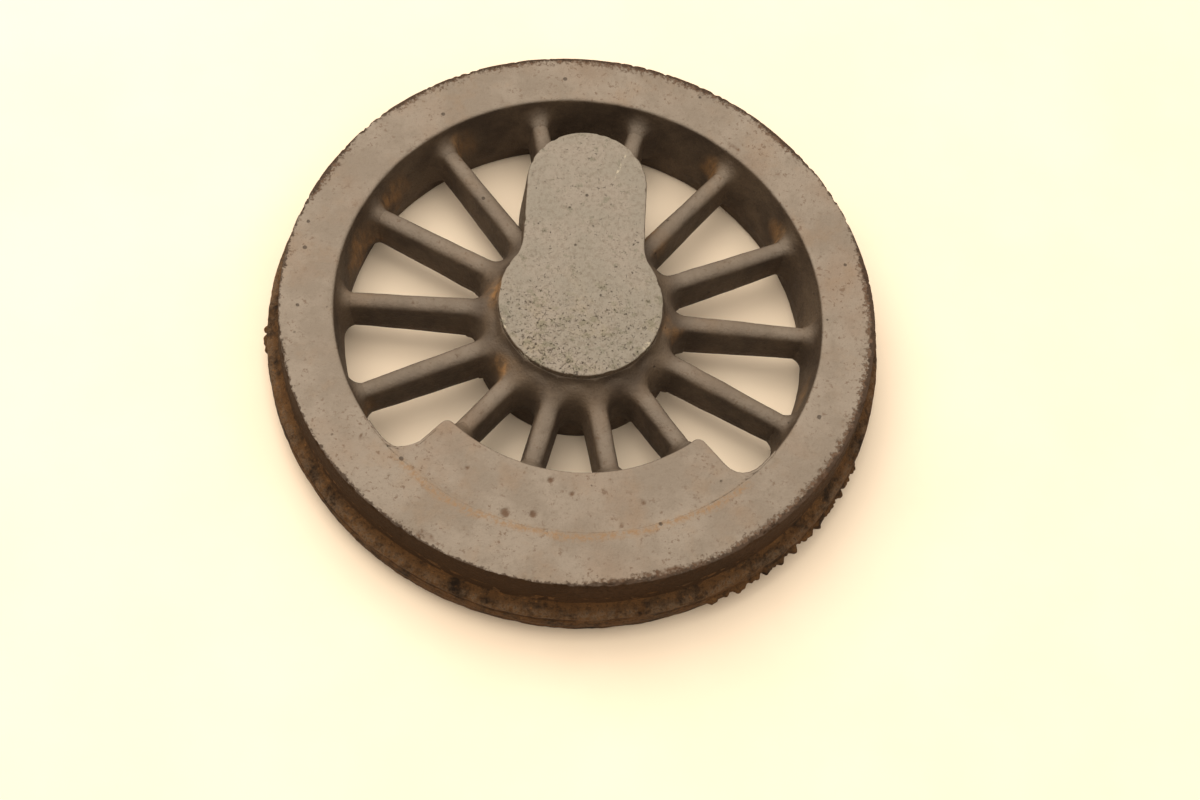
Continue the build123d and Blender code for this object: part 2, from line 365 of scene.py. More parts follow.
def use_group(tree, group, **feeds):
    """The outputs of a node group placed in a material."""
    node = tree.nodes.new("ShaderNodeGroup")
    node.node_tree = group
    for key, value in feeds.items():
        socket = node.inputs[key.replace("_", " ").capitalize()]
        if isinstance(value, bpy.types.NodeSocket):
            tree.links.new(value, socket)
        else:
            socket.default_value = value
    return node.outputs


def new_finish(name, look, depth=0.00035):
    """A material from a function that returns its colour, roughness, relief and gloss."""
    finish = bpy.data.materials.new(name)
    finish.use_nodes = True
    tree = finish.node_tree
    shader = tree.nodes["Principled BSDF"]
    colour, roughness, height, gloss = look(tree)
    tree.links.new(colour, shader.inputs["Base Color"])
    tree.links.new(roughness, shader.inputs["Roughness"])
    bump = place("Bump", tree, {"Height": height, "Strength": 0.6, "Distance": depth})
    tree.links.new(bump.outputs[0], shader.inputs["Normal"])
    if isinstance(gloss, bpy.types.NodeSocket):
        tree.links.new(gloss, shader.inputs["Specular IOR Level"])
    else:
        shader.inputs["Specular IOR Level"].default_value = gloss
    return finish


def speckle_of(tree, point, size, low, high):
    """Irregular specks of about the given size where fine noise passes from low to high."""
    return mask_of(tree, noise_of(tree, point, size, 4.0, 0.72), low, high)


def attribute_of(tree, label):
    """The value of one of the piece's own attributes."""
    return place("Attribute", tree, attribute_name=label).outputs["Fac"]


def wall_coat_and_shade(tree, point, stipple):
    """Thin dark brown primer over rust, as on walls and hollows, darkened further as painted shade."""
    clouds = noise_of(tree, point, 0.010, 4.0, 0.6)
    wall = blend_of(tree, mask_of(tree, clouds, 0.32, 0.68), WALL_DARK_SHADED, WALL_BROWN_SHADED)
    return cover(tree, wall, WALL_DARK_SHADED, mask_of(tree, stipple, 0.50, 0.72), 0.4)


def face_coat(tree, point, clouds, stipple):
    """Warm grey primer, unevenly dulled and browned, with fine red specks."""
    paint = cover(tree, PRIMER, PRIMER_DULL, mask_of(tree, clouds, 0.60, 0.38), 0.45)
    warmth = mask_of(tree, noise_of(tree, point, 0.017, 4.0, 0.6), 0.46, 0.72)
    paint = cover(tree, paint, PRIMER_WARM, warmth, 0.55)
    paint = cover(tree, paint, PRIMER_DULL, mask_of(tree, stipple, 0.52, 0.70), 0.34)
    tint = mask_of(tree, noise_of(tree, point, 0.009, 4.0, 0.65), 0.50, 0.70)
    paint = cover(tree, paint, SEAM_ORANGE, tint, 0.20)
    red = both(tree, speckle_of(tree, point, 0.0012, 0.57, 0.66), mask_of(tree, clouds, 0.32, 0.58))
    return cover(tree, paint, RUST_BROWN, red, 0.60)


def weight_seam(tree, at, clouds, stipple):
    """1 on the rusty seam that wanders along the joint of rim and balance weight."""
    up_the_wheel = place("SeparateXYZ", tree, {0: at["Point"]}).outputs[1]
    span = mask_of(tree, sums(tree, "DIVIDE", up_the_wheel, at["Radius"]), -0.70, -0.76)
    wander = sums(tree, "MULTIPLY_ADD", clouds, 0.0030, at["Radius"])
    aside = sums(tree, "ABSOLUTE", sums(tree, "SUBTRACT", wander, SEAM_AT))
    seam = both(tree, mask_of(tree, aside, SEAM_HALF, 0.0), span)
    return both(tree, seam, mask_of(tree, stipple, 0.36, 0.62))


def rust_streaks(tree, at):
    """1 where rust has run down the walls at the rusty places."""
    upright = place("VectorMath", tree, {0: at["Point"], 1: (1, 1, 0.22)}, operation="MULTIPLY").outputs[0]
    streaks = mask_of(tree, noise_of(tree, upright, 0.0016, 3.0, 0.6), 0.36, 0.66)
    orange = both(tree, attribute_of(tree, "rusty"), mask_of(tree, at["Upward"], 0.95, 0.55))
    return both(tree, orange, sums(tree, "MULTIPLY_ADD", streaks, 0.5, 0.2))


def tread_coat(tree, point, clouds):
    """Bare dark scale with grains of rust."""
    blotches = noise_of(tree, point, 0.0036, 5.0, 0.72)
    scale_tone = blend_of(tree, mask_of(tree, blotches, 0.38, 0.64), TREAD_BLACK, TREAD_BROWN)
    grains = both(tree, speckle_of(tree, point, 0.0009, 0.54, 0.68), mask_of(tree, clouds, 0.40, 0.62))
    return cover(tree, scale_tone, GRAIN_RUST, grains, 0.55)


def edge_rust(tree, at, stipple):
    """Two masks of the face's outer edge: specks that crowd together towards it, and the dark
    line that they merge into."""
    edge = mask_of(tree, at["Radius"], *SPECKS_BEYOND)
    sector = mask_of(tree, noise_of(tree, at["Point"], 0.040, 2.0), 0.40, 0.62)
    crowd = both(tree, edge, sums(tree, "MULTIPLY_ADD", sector, 0.31, 0.19))
    crowd = sums(tree, "ADD", crowd, 0.06)
    specks = use_group(tree, RUST_BLOOM, point=at["Point"], spread=crowd, patch_size=0.0010)["Mask"]
    inwards = sums(tree, "MULTIPLY_ADD", stipple, 0.0030, at["Radius"])
    inwards = sums(tree, "MULTIPLY_ADD", sector, 0.0007, inwards)
    return specks, mask_of(tree, inwards, *LINE_BEYOND)


def primer_look(tree):
    """Grey primer on the faces, thin brown primer over rust on the walls with painted shade on top, and rust
    at the edges.
    """
    at = use_group(tree, WHEEL_PLACE)
    point = at["Point"]
    grain = use_group(tree, SAND_GRAIN, point=point, pit_size=0.0021, pit_cover=0.06)
    clouds = noise_of(tree, point, 0.013, 5.0, 0.62)
    stipple = noise_of(tree, point, 0.0011, 4.0, 0.70)
    wall = wall_coat_and_shade(tree, point, stipple)
    paint = face_coat(tree, point, clouds, stipple)
    # on the spokes, lower than the rim, the primer is thin and browner, and at the neck the wall colour is
    # laid on as painted shade in the hollow under the boss
    paint = cover(tree, paint, wall, mask_of(tree, at["Height"], *THIN_BELOW), 0.42)
    paint = cover(tree, paint, wall, mask_of(tree, at["Radius"], *NECK_SHADE_WITHIN), 0.72)
    paint = cover(tree, paint, SEAM_ORANGE, weight_seam(tree, at, clouds, stipple), 0.85)
    # where the surface turns from facing the front to facing sideways it takes the wall colour: brown rust
    # with painted shade
    colour = blend_of(tree, mask_of(tree, at["Upward"], 0.28, 0.90), wall, paint)
    colour = blend_of(tree, rust_streaks(tree, at), colour, RUST_ORANGE)
    # the tread starts just under the face's edge
    steep = mask_of(tree, at["Upward"], 0.75, 0.45)
    tread = both(tree, mask_of(tree, at["Radius"], *TREAD_BEYOND), steep)
    colour = blend_of(tree, tread, colour, tread_coat(tree, point, clouds))
    specks, line = edge_rust(tree, at, stipple)
    colour = cover(tree, colour, RUST_BROWN, specks, 0.85)
    colour = cover(tree, colour, EDGE_BROWN, line, 0.85)
    colour = cover(tree, colour, PIT_BLACK, grain["Pits"], 0.70)
    colour = blend_of(tree, attribute_of(tree, "worn_and_highlight"), colour, RUST_BROWN)
    rough = place("MapRange", tree, {0: stipple, 3: 0.55, 4: 0.80}).outputs[0]
    relief = sums(tree, "SUBTRACT", grain["Height"], specks)
    gloss = sums(tree, "MULTIPLY_ADD", tread, -0.18, 0.22)
    return colour, rough, relief, gloss


primer = new_finish("primer_over_iron", primer_look)

# Places where the primer has flaked off the rim: degrees round, radius, length along, width across.
FLAKES = np.array([
    (-70.8, 64.3, 5.2, 1.5), (-65.0, 64.8, 3.4, 1.5), (-117.6, 63.9, 4.2, 1.6), (-141.0, 56.9, 2.8, 0.7),
    (53.1, 55.3, 4.0, 0.9), (138.2, 54.0, 2.4, 0.5), (117.2, 64.6, 5.5, 0.9), (-35.6, 64.9, 5.0, 1.3),
])
BITE_DEPTH, BITE_REACH = 0.55, 0.75
FLAKE_DEPTH = 0.22


def rim_skin(points):
    """The sand skin, less ragged bites along the face's outer edge and shallow flaked ovals."""
    radius = np.hypot(points[:, 0], points[:, 1])
    from_edge = np.hypot(np.maximum(TREAD_FRONT_R - radius, 0), np.maximum(FACE_Z - points[:, 2], 0))
    ragged = rise(lumps(points, 0.75, 3.1) + 0.9 * lumps(points, 3.4, 8.8), -0.1, 1.0)
    bites = BITE_DEPTH * ragged * np.exp(-(from_edge / BITE_REACH) ** 2)
    angle, middle, length, width = FLAKES.T
    turn = np.radians(angle)
    along = points[:, :1] * -np.sin(turn) + points[:, 1:2] * np.cos(turn)
    across = points[:, :1] * np.cos(turn) + points[:, 1:2] * np.sin(turn) - middle
    away = np.sqrt((2 * along / length) ** 2 + (2 * across / width) ** 2) + 0.45 * lumps(points, 1.1)[:, None]
    flaked = rise(-away.min(axis=1), -1.15, -0.75) * (points[:, 2] > FACE_Z - 2)
    move = sand_skin(points) - bites - FLAKE_DEPTH * flaked
    outline = 3.6 * flaked * (1 - flaked) * rise(lumps(points, 0.6), -0.5, 0.2)
    return move, np.clip(outline + 0.25 * flaked, 0, 0.95)


rim_profile = rounded_outline([
    (TREAD_FRONT_R, FACE_Z, 0.35, 0.66),
    (TREAD_R, FLANGE_TOP_Z, 0, 2.0),
    (TREAD_R - HIDDEN_INSET, 0.15, 0, 1.1),
    (BORE_BACK_R, 0, 0.4, 0.8),
    (BORE_R, BORE_Z, 0, 0.48),
    (BORE_FRONT_R, FACE_Z, BORE_ROUND, 0.6),
])
rim_profile = np.repeat(rim_profile[:, None], RIM_COLUMNS, axis=1)


def swell_at(turn, height, radius, fillet):
    """How far a wall of this radius swells inwards round the end of each spoke. With d the
    distance from the spoke's outline on the wall, it is F - sqrt(F^2 - (F - d)^2) for a fillet
    of F, drawn out towards the front where the spoke's crest climbs to the face."""
    pitch = 2 * math.pi / SPOKE_COUNT
    beside = np.abs((turn - math.pi / 2) % pitch - pitch / 2) * radius
    middle = (FRONT_AT_RIM + BACK_AT_RIM) / 2
    away = height - middle
    beyond = np.abs(away) - (FRONT_AT_RIM - BACK_AT_RIM) / 2 + SPOKE_ROUND
    half = HALF_AT_RIM - SPOKE_ROUND - np.abs(height - SPOKE_MID_Z) * SPOKE_LEAN
    over = beside - half
    outside = np.hypot(np.maximum(over, 0), np.maximum(beyond, 0))
    distance = outside + np.minimum(np.maximum(over, beyond), 0) - SPOKE_ROUND
    frontward = (away > 0) * np.maximum(beyond, 0) / np.maximum(outside, 1e-6)
    spread = np.maximum(distance, 0) * (1 - FILLET_DRAWN * frontward)
    return fillet_rise(fillet - spread, fillet) + FILLET_BURY * np.maximum(-distance, 0)


rim_radius, rim_height = rim_profile[..., 0], rim_profile[..., 1]
on_bore = (rim_radius < BORE_FRONT_R + 0.3) & (rim_height > 0.2)
column_turn = 2 * math.pi * np.arange(RIM_COLUMNS) / RIM_COLUMNS
swell = swell_at(column_turn[None], rim_height, BORE_R, RIM_FILLET)
swell *= rise(FACE_Z - rim_height, 0.6, 2.6)
rim_profile[..., 0] -= np.where(on_bore, swell, 0)
# over the balance weight the bore's front edge is square, so that the two faces meet in one seam
column_degrees = 360.0 * np.arange(RIM_COLUMNS) / RIM_COLUMNS
square = rise(WEIGHT_SPAN - np.abs(column_degrees - 270.0), -1.5, 1.5)
front_edge = (rim_radius > BORE_FRONT_R - 0.02) & (rim_radius < BORE_FRONT_R + BORE_ROUND)
front_edge &= rim_height > FACE_Z - 1.6 * BORE_ROUND
rim_profile[..., 1] = np.where(front_edge, FACE_Z - (FACE_Z - rim_height) * (1 - square), rim_height)
make_piece("rim_cast", carried_round(rim_profile, RIM_COLUMNS), primer, ["rim"], rim_skin)

# ---- Flange and tread scale -----------------------------------------------------------------
# The flange is left thick and blunt by the mould, with a thin cold crack along its shoulder
# where the sand lifted. It and the tread were never painted well, and carry dark scale.
FLANGE_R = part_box("flange")[1].x / MM
SHOULDER_Z = 8.3
SHOULDER_TOP = (0.0098, 0.0088)      # heights in metres between which the pale line fades
SHOULDER_FOOT = (0.0072, 0.0080)
CRACK_DROP, CRACK_HALF, CRACK_DEPTH = 1.1, 0.22, 0.35
FLANGE_SINK = 0.08       # keeps the rough skin's peaks near the flange's true size
FLANGE_COLUMNS = 960
SCALE_BLACK = (0.014, 0.007, 0.003, 1)
SCALE_BROWN = (0.060, 0.031, 0.013, 1)
SCALE_RED = (0.110, 0.050, 0.016, 1)
SCALE_PALE = (0.150, 0.098, 0.060, 1)


def scale_look(tree):
    """Dark casting scale with redder rust in patches and paler places."""
    at = use_group(tree, WHEEL_PLACE)
    point = at["Point"]
    grain = use_group(tree, SAND_GRAIN, point=point, pit_size=0.0013, pit_cover=0.3)
    clouds = noise_of(tree, point, 0.0034, 4.0, 0.72)
    stipple = noise_of(tree, point, 0.0009, 4.0, 0.7)
    colour = blend_of(tree, mask_of(tree, clouds, 0.34, 0.58), SCALE_BLACK, SCALE_BROWN)
    red = use_group(tree, RUST_BLOOM, point=point, spread=0.46, patch_size=0.007)["Mask"]
    colour = cover(tree, colour, SCALE_RED, red, 0.6)
    # the shoulder where the slope turns down is paler, in a line that comes and goes
    low = mask_of(tree, at["Height"], *SHOULDER_TOP)
    high = mask_of(tree, at["Height"], *SHOULDER_FOOT)
    pale_shoulder = both(tree, both(tree, low, high), mask_of(tree, clouds, 0.34, 0.62))
    pale_shoulder = both(tree, pale_shoulder, mask_of(tree, stipple, 0.36, 0.60))
    colour = cover(tree, colour, SCALE_PALE, pale_shoulder, 0.75)
    colour = cover(tree, colour, SCALE_BLACK, speckle_of(tree, point, 0.0009, 0.50, 0.62), 0.50)
    grains = both(tree, speckle_of(tree, point, 0.0011, 0.56, 0.68), mask_of(tree, clouds, 0.40, 0.60))
    colour = cover(tree, colour, GRAIN_RUST, grains, 0.85)
    colour = blend_of(tree, attribute_of(tree, "worn_and_highlight"), colour, PIT_BLACK)
    rough = place("MapRange", tree, {0: stipple, 3: 0.55, 4: 0.85}).outputs[0]
    return colour, rough, grain["Height"], 0.10


scale = new_finish("casting_scale", scale_look, depth=0.0005)


def flange_skin(points):
    """The sand skin, rougher than on the faces, less a thin wandering crack under the shoulder."""
    radius = np.hypot(points[:, 0], points[:, 1])
    wander = SHOULDER_Z - CRACK_DROP + 0.35 * lumps(points, 9.0, 2.2)
    crack = np.exp(-((points[:, 2] - wander) / CRACK_HALF) ** 2)
    crack *= rise(radius, FLANGE_R - 1.5, FLANGE_R - 0.8) * rise(lumps(points, 6.0, 14.0), -0.45, 0.05)
    rough = 0.07 * lumps(points, 0.9, 4.0) + 0.10 * lumps(points, 2.3, 6.0)
    return sand_skin(points) + rough - CRACK_DEPTH * crack - FLANGE_SINK, crack


flange_profile = rounded_outline([
    (TREAD_R - 0.02, 13.6, 0, 0.45),
    (TREAD_R - 1.6, 13.0, 0, 2.0),
    (TREAD_R - 1.6, 0.0, 0, 1.2),
    (FLANGE_R - 1.0, 0.0, 0.5, 0.42),
    (FLANGE_R, 5.0, 1.5, 0.40),
    (FLANGE_R - 0.2, SHOULDER_Z, 1.0, 0.36),
    (TREAD_R, 10.4, 2.2, 0.40),
])
flange_grid = carried_round(flange_profile, FLANGE_COLUMNS)
make_piece("flange_cast", flange_grid, scale, ["flange"], flange_skin)

# ---- Flash -----------------------------------------------------------------------------------
# Iron that ran out between the two halves of the mould: a thin ragged fin along one side of
# the flange, broken into teeth, and a single nub on the other side.
FLASH_Z = (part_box("flash_fin")[0].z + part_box("flash_fin")[1].z) / 2 / MM
FIN_REACH, NUB_REACH = 70.0, 69.6
TOOTH_DEGREES = 1.15
COLUMNS_PER_DEGREE = 9
FIN_ROOT_R = FLANGE_R - 1.2
FIN_LOW_R = FLANGE_R - 0.6   # where the tip lies at both ends of the fin
FIN_THICK, TOOTH_THICK = 0.85, 0.35
TOOTH_DROOP = 0.5


def ragged_teeth(count, knot_count, seed):
    """How far each of count columns stands out, from 0 to 1: seeded random knots joined by steps
    of 3t^2 - 2t^3, with a finer random line on top."""
    random = np.random.default_rng(seed)
    knots = random.uniform(0, 1, knot_count)
    fine = random.uniform(-1, 1, count // 4 + 2)
    spot = np.linspace(0, len(knots) - 1.001, count)
    blunt = np.floor(spot) + rise(spot % 1, 0.12, 0.88)
    coarse = np.interp(blunt, np.arange(len(knots)), knots)
    fine = np.interp(np.linspace(0, len(fine) - 1, count), np.arange(len(fine)), fine)
    return np.clip(0.30 + 0.60 * coarse + 0.14 * fine, 0, 1)


def make_flash(name, node, first, last, reach, seed):
    """A fin round the flange from first to last degrees: a lens-shaped section carried along,
    its tip at a radius that wanders between the flange and reach by ragged_teeth."""
    count = int(abs(last - first) * COLUMNS_PER_DEGREE)
    teeth = ragged_teeth(count, int(abs(last - first) / TOOTH_DEGREES) + 3, seed)
    from_end = np.minimum(np.arange(count), np.arange(count)[::-1]) / count
    tip = FIN_LOW_R + (reach - FIN_LOW_R) * teeth * rise(from_end, 0, 0.08)
    around = np.linspace(0, 2 * math.pi, 14, endpoint=False)
    radius = (FIN_ROOT_R + tip[:, None]) / 2 + (tip[:, None] - FIN_ROOT_R) / 2 * np.cos(around)
    thick = FIN_THICK + TOOTH_THICK * teeth[:, None]
    droop = TOOTH_DROOP * teeth[:, None] * (1 + np.cos(around)) / 2
    height = FLASH_Z + 0.3 + thick * np.sin(around) - droop
    turn = np.radians(np.linspace(first, last, count))[:, None]
    points = np.stack([radius * np.cos(turn), radius * np.sin(turn), height], axis=-1)
    make_piece(name, points, scale, [node], rows_close=False)


make_flash("flash_fin_cast", "flash_fin", -21.0, -66.0, FIN_REACH, 3)
make_flash("flash_nub_cast", "flash_nub", 183.0, 189.0, NUB_REACH, 8)

# ---- Hub ---------------------------------------------------------------------------------------
# The barrel round the axle's place, cast solid. Its front shoulder is rounded over between the
# spokes and sweeps up in a hollow curve to the crank boss.
HUB_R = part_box("hub")[1].x / MM
NECK_R = 18.2            # just inside the crank boss's wall
SWEEP = 4.7              # hollow curve of the front from the boss down to the spokes
HALF_PITCH = math.pi / SPOKE_COUNT
GAP_R = 25.1             # where the round end of each gap between two spokes has its centre
ROOT_R = GAP_R * math.cos(HALF_PITCH)
MEET_R = 23.5            # further out than this the spokes' own surface is the upper one
MEET_DIP = 0.12          # the hub's front sinks by this times the distance squared outside MEET_R,
                         # and the spokes' inside it, so that one slips under the other
FRONT_ROWS, ROLL_ROWS, WALL_ROWS, BACK_ROWS = 15, 8, 30, 8
GAP_COLUMNS, SPOKE_COLUMNS = 27, 8
SOFT_ROWS, SOFT_PASSES = 26, 36
GAP_ROLL = 0.40          # how much larger the front edge's rounding is in a gap than on a spoke

# one pitch of the outline: round the end of a gap, then straight across a spoke
gap_turns = np.linspace(-1, 1, GAP_COLUMNS) * (math.pi / 2 - HALF_PITCH)
crossing = np.linspace(-1, 1, SPOKE_COLUMNS + 2)[1:-1]
pitch_turn = np.concatenate([gap_turns, np.zeros(SPOKE_COLUMNS)])
pitch_side = np.concatenate([np.zeros(GAP_COLUMNS), crossing])
pitch_spoke = np.concatenate([np.zeros(GAP_COLUMNS), np.ones(SPOKE_COLUMNS)])
hub_turn, hub_side, hub_spoke = (
    np.tile(run, SPOKE_COUNT) for run in (pitch_turn, pitch_side, pitch_spoke)
)
gap_direction = math.pi / 2 + 2 * HALF_PITCH * np.arange(SPOKE_COUNT)
gap_direction = np.repeat(gap_direction, GAP_COLUMNS + SPOKE_COLUMNS)
# 1 in the middle of a gap, 0 at a spoke
gap_middle = np.where(hub_spoke > 0, 0, np.cos(hub_turn / (1 - 2 / SPOKE_COUNT)) ** 2)


def front_at(radius):
    """Height of the casting's front between the boss and the rim: the spokes' straight crest, with
    a hollow curve of radius SWEEP up to the boss."""
    share = np.clip((radius - HUB_R) / (BORE_R - HUB_R), 0, 1)
    crest = FRONT_AT_HUB + (FRONT_AT_RIM - FRONT_AT_HUB) * share
    return crest + fillet_rise(NECK_R + SWEEP - radius, SWEEP)


def hub_line(half):
    """The hub's outline as x + iy, for spokes of this half width: arcs of radius
    GAP_R * sin(HALF_PITCH) - half round the ends of the gaps, which touch the spokes' sides."""
    gap = GAP_R - (GAP_R * math.sin(HALF_PITCH) - half) * np.exp(-1j * hub_turn)
    root = (ROOT_R + 1j * hub_side * half) * np.exp(1j * HALF_PITCH)
    return np.where(hub_spoke > 0, root, gap) * np.exp(1j * gap_direction)


def half_at(height):
    """Half the spokes' width at the hub, at a height: both ways it narrows with the draft."""
    return HALF_AT_HUB - np.abs(height - SPOKE_MID_Z) * SPOKE_LEAN


edge_round = SPOKE_ROUND * (1 + GAP_ROLL * gap_middle)
edge_line = hub_line(half_at(FRONT_AT_HUB) - edge_round)
edge_z = front_at(np.abs(edge_line))
neck_line = NECK_R * edge_line / np.abs(edge_line)
hub_rows = []
for fill in np.linspace(0, 1, FRONT_ROWS + 1)[:-1]:
    line = neck_line + (edge_line - neck_line) * fill
    hub_rows.append((line, front_at(np.abs(line))))
for t in np.linspace(math.pi / 2, 0, ROLL_ROWS):
    level = edge_z - edge_round * (1 - math.sin(t))
    hub_rows.append((hub_line(half_at(level) - edge_round * (1 - math.cos(t))), level))
# down the wall the outline goes over to the plain round barrel, below the backs of the spokes
for fill in np.linspace(1, 0, WALL_ROWS)[1:]:
    level = (edge_z - edge_round) * fill
    line = hub_line(half_at(level))
    plain = HUB_R * line / np.abs(line)
    hub_rows.append((plain + (line - plain) * rise(level, BACK_AT_HUB - 1.4, BACK_AT_HUB + 1.2), level))
back_line = hub_rows[-1][0]
hub_rows += [(back_line * fill, np.zeros(len(back_line))) for fill in np.linspace(1, 0.03, BACK_ROWS + 1)[1:]]
hub_grid = np.stack([np.stack([line.real, line.imag, level], axis=-1) for line, level in hub_rows])
# soften the hollow between the boss and each gap, but not where the hub runs into a spoke
for _ in range(SOFT_PASSES):
    rows = hub_grid[1:SOFT_ROWS + 1]
    smoothed = (hub_grid[:SOFT_ROWS] + 2 * rows + hub_grid[2:SOFT_ROWS + 2]) / 4
    hub_grid[1:SOFT_ROWS + 1] += (smoothed - rows) * gap_middle[:, None]
past_meeting = np.maximum(np.hypot(hub_grid[..., 0], hub_grid[..., 1]) - MEET_R, 0)
hub_grid[..., 2] -= np.where(hub_grid[..., 2] > BACK_AT_HUB + 2, MEET_DIP * past_meeting ** 2, 0)
make_piece("hub_cast", hub_grid, primer, ["hub"], rows_close=False)

# ---- Crank boss -------------------------------------------------------------------------------
# A pear-shaped block, large end round the axle and small end round the crank pin, left solid for
# boring. Its face is the highest level; its edge has been knocked and shows rusty iron, and the
# bright strokes along the large end's edge are painted highlight.
boss_low, boss_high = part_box("crank_boss")
BOSS_FACE_Z = boss_high.z / MM
BOSS_BACK_Z = boss_low.z / MM
BOSS_HUB_R = 18.1
BOSS_PIN_R = 13.5
CRANK_THROW = 30.5
BOSS_NECK_R = 10.0
BOSS_LEAN = math.tan(math.radians(3.0))
BOSS_EDGE = 0.45
PEAR_SPACING = 0.36      # between the points of the pear's outline
NICK_DEPTH, RUB_AND_HIGHLIGHT_DEPTH = 0.22, 0.05


def arc(centre_x, centre_y, radius, start, stop):
    """Points on an arc of a circle between two angles in radians, the last one left out."""
    count = math.ceil(abs(stop - start) * radius / PEAR_SPACING)
    swing = start + (stop - start) * np.arange(count) / count
    return np.stack([centre_x + radius * np.cos(swing), centre_y + radius * np.sin(swing)], axis=1)


# right half of the pear from the foot to the head: big end, hollow neck, straight side, small end
neck_x = BOSS_PIN_R + BOSS_NECK_R
neck_y = math.sqrt((BOSS_HUB_R + BOSS_NECK_R) ** 2 - neck_x ** 2)
neck_turn = math.atan2(neck_y, neck_x)
side_rows = np.arange(neck_y, CRANK_THROW, PEAR_SPACING)
pear_half = np.concatenate([
    arc(0, 0, BOSS_HUB_R, -math.pi / 2, neck_turn),
    arc(neck_x, neck_y, BOSS_NECK_R, neck_turn + math.pi, math.pi),
    np.stack([np.full(len(side_rows), BOSS_PIN_R), side_rows], axis=1),
    arc(0, CRANK_THROW, BOSS_PIN_R, 0, math.pi / 2),
])
mirrored = pear_half[:0:-1] * (-1, 1)
pear = np.concatenate([pear_half, [(0, CRANK_THROW + BOSS_PIN_R)], mirrored])
ahead = unit(np.roll(pear, -1, axis=0) - np.roll(pear, 1, axis=0))
outward = np.stack([ahead[:, 1], -ahead[:, 0]], axis=1)
spine = np.stack([np.zeros(len(pear)), np.clip(pear[:, 1], 0, CRANK_THROW)], axis=1)


def boss_level(inward, height, fill=1.0):
    """One closed line of the boss: the pear's outline drawn in or let out by a distance, at a
    height. With fill below 1 it shrinks towards the spine that joins the two ends' centres."""
    line = pear - outward * inward
    line = spine + (line - spine) * fill
    return np.concatenate([line, np.full((len(line), 1), height)], axis=1)


edge_turns = np.linspace(0, math.pi / 2, 6)
wall_heights = np.linspace(BOSS_FACE_Z - BOSS_EDGE, BOSS_BACK_Z + 1, 26)[1:]
boss_rows = [boss_level(BOSS_EDGE, BOSS_FACE_Z, fill) for fill in np.linspace(0, 1, 42)[:-1]]
boss_rows += [
    boss_level(BOSS_EDGE * (1 - math.sin(t)), BOSS_FACE_Z - BOSS_EDGE * (1 - math.cos(t)))
    for t in edge_turns
]
boss_rows += [boss_level(-(BOSS_FACE_Z - z) * BOSS_LEAN, z) for z in wall_heights]
boss_rows += [boss_level(0, BOSS_BACK_Z, fill) for fill in np.linspace(1, 0, 18)]

BOSS_GREY = (0.240, 0.196, 0.152, 1)
BOSS_GREEN = (0.198, 0.172, 0.131, 1)
# the bright iron colour also serves as painted highlight on the boss's edge
BRIGHT_IRON_AND_HIGHLIGHT = (0.440, 0.370, 0.270, 1)
PIT_GREEN = (0.110, 0.102, 0.064, 1)
OCHRE = (0.270, 0.205, 0.110, 1)
# bright strokes: x, y, length and width, and the way it lies in degrees. The first three lie along
# the large end's edge and are painted highlight; the last is bright metal from rubbing.
RUBBED_AND_EDGE_HIGHLIGHT = np.array([
    (-16.6, -6.6, 3.8, 0.6, 112.0), (-10.4, -14.7, 6.0, 0.6, 145.0), (14.6, -9.8, 3.0, 1.2, 55.0),
    (7.4, 35.6, 9.6, 0.5, 71.0),
])


def boss_look(tree):
    """Thinner, greener primer on a flatter face, pitted most at the large end."""
    at = use_group(tree, WHEEL_PLACE)
    point = at["Point"]
    up_the_pear = place("SeparateXYZ", tree, {0: point}).outputs[1]
    low = mask_of(tree, up_the_pear, 0.014, -0.010)
    clouds = noise_of(tree, point, 0.012, 5.0, 0.62)
    stipple = noise_of(tree, point, 0.0010, 4.0, 0.70)
    grain = use_group(tree, SAND_GRAIN, point=point, pit_size=0.0019, pit_cover=0.10)
    paint = cover(tree, BOSS_GREY, BOSS_GREEN, mask_of(tree, clouds, 0.58, 0.42), 0.5)
    ochre = both(tree, low, mask_of(tree, noise_of(tree, point, 0.006, 4.0, 0.7), 0.50, 0.66))
    paint = cover(tree, paint, OCHRE, ochre, 0.30)
    paint = cover(tree, paint, PRIMER_DULL, mask_of(tree, stipple, 0.46, 0.68), 0.50)
    # the boss's sides take the wall colour: rust brown with painted shade laid over it
    wall = cover(tree, WALL_BROWN_SHADED, RUST_ORANGE, attribute_of(tree, "rusty"), 0.85)
    colour = blend_of(tree, mask_of(tree, at["Upward"], 0.45, 0.85), wall, paint)
    # pits crowd together at the large end, in irregular specks and short strokes
    crowd = sums(tree, "MULTIPLY_ADD", low, 0.055, both(tree, clouds, 0.16))
    fine = noise_of(tree, point, 0.0007, 4.0, 0.80, warp=0.7)
    pits = mask_of(tree, sums(tree, "ADD", fine, crowd), 0.700, 0.770)
    mottle = sums(tree, "ADD", noise_of(tree, point, 0.0030, 4.0, 0.8), crowd)
    colour = cover(tree, colour, PIT_GREEN, mask_of(tree, mottle, 0.640, 0.760), 0.5)
    colour = cover(tree, colour, PIT_BLACK, pits, 0.85)
    colour = cover(tree, colour, PIT_BLACK, grain["Pits"], 0.75)
    # bright iron on the strokes: metal bared by rubbing on the small end, painted highlight along the large
    # end's edge
    bright = both(tree, attribute_of(tree, "worn_and_highlight"), mask_of(tree, stipple, 0.48, 0.58))
    colour = blend_of(tree, bright, colour, BRIGHT_IRON_AND_HIGHLIGHT)
    rough = place("MapRange", tree, {0: stipple, 3: 0.50, 4: 0.76}).outputs[0]
    relief = sums(tree, "SUBTRACT", grain["Height"], both(tree, pits, 1.4))
    return colour, rough, relief, 0.24


boss_finish = new_finish("boss_primer", boss_look)


